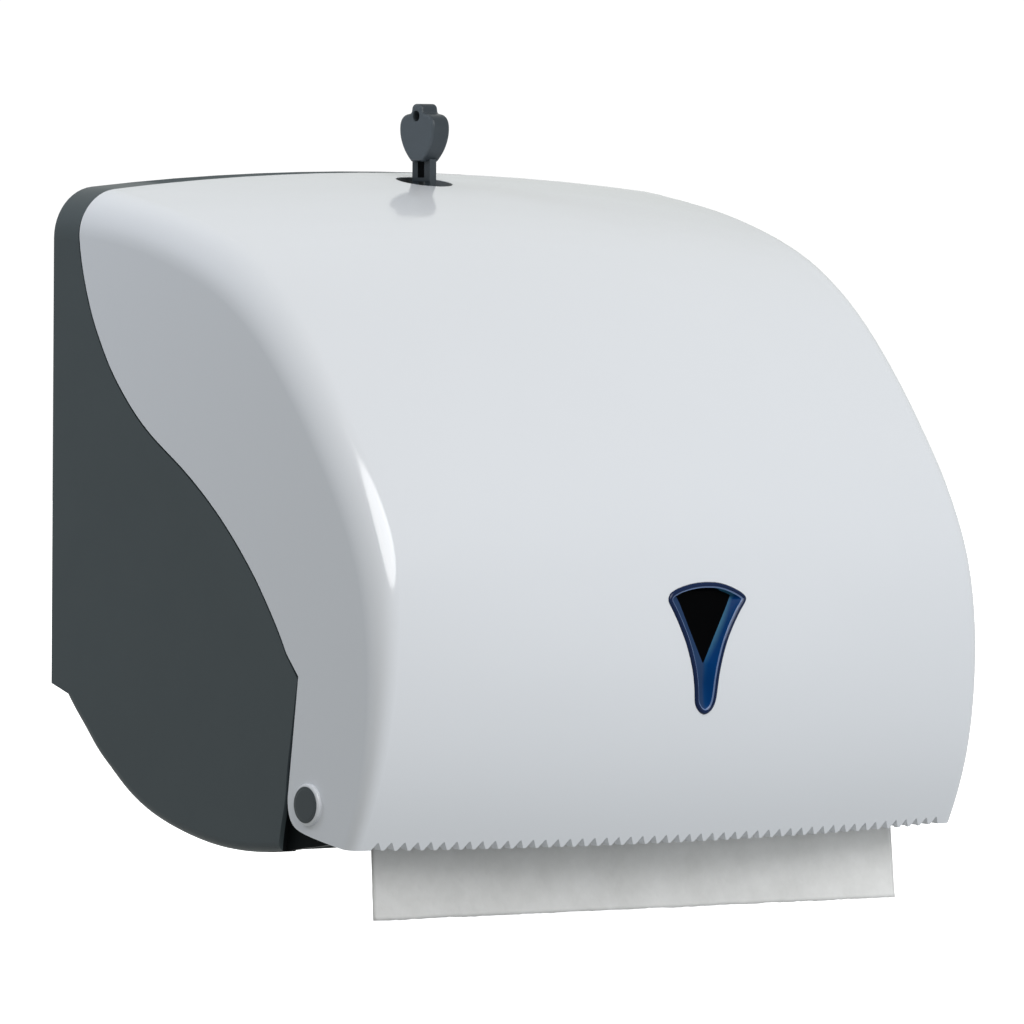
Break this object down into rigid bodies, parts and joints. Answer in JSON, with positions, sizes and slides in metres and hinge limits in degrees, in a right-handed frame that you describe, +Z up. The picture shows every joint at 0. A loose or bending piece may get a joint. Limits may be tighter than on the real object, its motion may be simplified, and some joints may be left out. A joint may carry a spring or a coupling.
{
  "type": "lever roll towel dispenser",
  "caption": "Wall-mounted roll paper towel dispenser: domed hinged cover with toothed tear edge and level window, rear casing, top key lock, side feed lever, feed rollers and paper roll.",
  "frame": {"origin": "centre of the four wall-screw holes, on the back face of the rear casing (y = 0)", "axes": "+Z up, +Y into the wall, -Y out of the wall towards the user, +X to the user's right when facing the dispenser"},
  "size_m": [0.2564, 0.1735, 0.2442],
  "materials": {
    "cover_white": "glossy moulded ABS",
    "casing_grey": "satin moulded ABS",
    "window_blue": "tinted clear plastic lens",
    "key_grey": "satin plastic",
    "part_grey": "moulded acetal",
    "dark_plastic": "moulded nylon",
    "gear_white": "natural acetal",
    "steel": "zinc-plated steel",
    "tyre_rubber": "moulded rubber",
    "paper": "embossed towel paper",
    "board": "wound board tube"
  },
  "bodies": {
    "base": {"rear_casing": "casing_grey", "left_frame": "part_grey", "right_frame": "part_grey", "frame_screws": "steel", "feed_bush_left": "gear_white", "feed_bush_right": "gear_white", "idler_stud": "steel", "carriage_pivot_rod": "steel", "pinch_springs": "steel", "exit_guide": "dark_plastic", "lever_bush": "gear_white", "lever_return_spring": "steel", "fixed_core_plug": "part_grey", "arm_bracket": "part_grey", "arm_hinge_pin": "steel", "roll_arm_spring": "steel", "lock_keeper": "steel", "paper_web": "paper", "hinge_pin_left": "casing_grey", "hinge_pin_right": "casing_grey"},
    "cover": {"front_cover": "cover_white", "level_window": "window_blue", "lock_housing": "casing_grey"},
    "lock_rotor": {"lock_barrel": "dark_plastic", "lock_cam": "steel", "cam_screw": "steel"},
    "door_key": {"key": "key_grey"},
    "lever": {"feed_lever": "casing_grey", "lever_shaft": "steel", "sector_gear": "gear_white", "lever_cap": "casing_grey"},
    "idler": {"idler_gear": "gear_white"},
    "feed_roller": {"feed_roller_shaft": "steel", "feed_roller_core": "dark_plastic", "feed_roller_tyres": "tyre_rubber", "one_way_clutch": "steel", "feed_pinion": "gear_white"},
    "carriage": {"pinch_carriage": "part_grey"},
    "pinch_roller": {"pinch_roller_shaft": "steel", "pinch_roller_core": "part_grey", "pinch_roller_tyres": "tyre_rubber"},
    "roll": {"paper_roll": "paper", "roll_core": "board"},
    "arm": {"roll_arm": "part_grey"},
    "tail": {"paper_tail": "paper"}
  },
  "joints": [
    {"name": "cover_open", "type": "hinge", "parent": "base", "child": "cover", "pos_m": [0, -0.1297, -0.1022], "axis": [1, 0, 0], "range_deg": [0, 90]},
    {"name": "lock_turn", "type": "hinge", "parent": "cover", "child": "lock_rotor", "pos_m": [0, -0.0329, 0.07], "axis": [0, 0, 1], "range_deg": [0, 90]},
    {"name": "key_withdraw", "type": "slide", "parent": "lock_rotor", "child": "door_key", "axis": [0, 0, 1], "range_m": [0, 0.022]},
    {"name": "lever_press", "type": "hinge", "parent": "base", "child": "lever", "pos_m": [0, -0.07, -0.081], "axis": [1, 0, 0], "range_deg": [0, 55], "stiffness_Nm_per_rad": 0.06, "springref_deg": -28.65},
    {"name": "idler_turn", "type": "hinge", "parent": "base", "child": "idler", "pos_m": [0, -0.11249, -0.08031], "axis": [1, 0, 0], "range_deg": [-180, 0]},
    {"name": "feed_roller_turn", "type": "hinge", "parent": "base", "child": "feed_roller", "pos_m": [0, -0.122, -0.095], "axis": [1, 0, 0], "range_deg": [0, 240]},
    {"name": "pinch_carriage_swing", "type": "hinge", "parent": "base", "child": "carriage", "pos_m": [0, -0.148, -0.069], "axis": [-1, 0, 0], "range_deg": [0, 7], "stiffness_Nm_per_rad": 0.3, "springref_deg": -17.19},
    {"name": "pinch_roller_turn", "type": "hinge", "parent": "carriage", "child": "pinch_roller", "pos_m": [0, -0.145, -0.095], "axis": [1, 0, 0], "range_deg": [-512, 0]},
    {"name": "paper_roll_turn", "type": "hinge", "parent": "base", "child": "roll", "pos_m": [0, -0.078, -0.022], "axis": [1, 0, 0], "range_deg": [0, 60]},
    {"name": "roll_arm_swing", "type": "hinge", "parent": "base", "child": "arm", "pos_m": [-0.1036, -0.01, -0.022], "axis": [0, 0, -1], "range_deg": [0, 4.5], "stiffness_Nm_per_rad": 0.5, "springref_deg": -11.46},
    {"name": "paper_tail_swing", "type": "hinge", "parent": "base", "child": "tail", "pos_m": [0, -0.1383, -0.107], "axis": [1, 0, 0], "range_deg": [0, 64.5]}
  ],
  "couplings": [
    {"joint": "idler_turn", "follows": "lever_press", "ratio": -3.25},
    {"joint": "feed_roller_turn", "follows": "lever_press", "ratio": 4.3333},
    {"joint": "pinch_roller_turn", "follows": "lever_press", "ratio": -9.2857},
    {"joint": "paper_roll_turn", "follows": "lever_press", "ratio": 1.0833},
    {"joint": "paper_tail_swing", "follows": "cover_open", "ratio": 0.7111}
  ]
}
